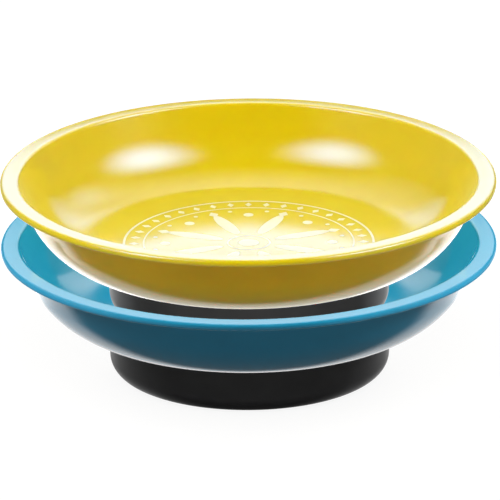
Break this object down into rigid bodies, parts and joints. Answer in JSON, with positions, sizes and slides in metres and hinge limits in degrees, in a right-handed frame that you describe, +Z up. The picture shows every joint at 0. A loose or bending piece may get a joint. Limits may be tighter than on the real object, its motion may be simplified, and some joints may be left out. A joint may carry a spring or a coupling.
{
  "type": "magnetic pin holder",
  "caption": "Round magnetic pin dishes that stack: each shallow glossy bowl has a flat lip with a rounded edge and a black screwed base that holds a ring magnet, a steel plate and a soft foot.",
  "frame": {"origin": "middle of the lower dish's foot, on the surface it stands on", "axes": "+Z up along the dishes' common axis, +X to the right and +Y away from the viewer of the picture"},
  "size_m": [0.108, 0.108, 0.0441],
  "materials": {
    "yellow_gloss": "gloss, moulded",
    "blue_gloss": "gloss, moulded",
    "black_satin": "satin, moulded",
    "ferrite": "ground, dark grey",
    "plate_steel": "zinc plated",
    "screw_steel": "zinc plated",
    "foam": "closed-cell foam",
    "foot_rubber": "matte, ribbed"
  },
  "bodies": {
    "lower_dish": {"lower_bowl": "blue_gloss", "lower_base_cup": "black_satin", "lower_ring_magnet": "ferrite", "lower_keeper_plate": "plate_steel", "lower_cushion_ring": "foam", "lower_screw": "screw_steel", "lower_washer": "screw_steel", "lower_foot_pad": "foot_rubber"},
    "upper_dish": {"upper_bowl": "yellow_gloss", "upper_base_cup": "black_satin", "upper_ring_magnet": "ferrite", "upper_keeper_plate": "plate_steel", "upper_cushion_ring": "foam", "upper_screw": "screw_steel", "upper_washer": "screw_steel", "upper_foot_pad": "foot_rubber"}
  },
  "joints": [
    {"name": "upper_dish_lift", "type": "slide", "parent": "lower_dish", "child": "upper_dish", "axis": [0, 0, 1], "range_m": [0, 0.06]}
  ]
}
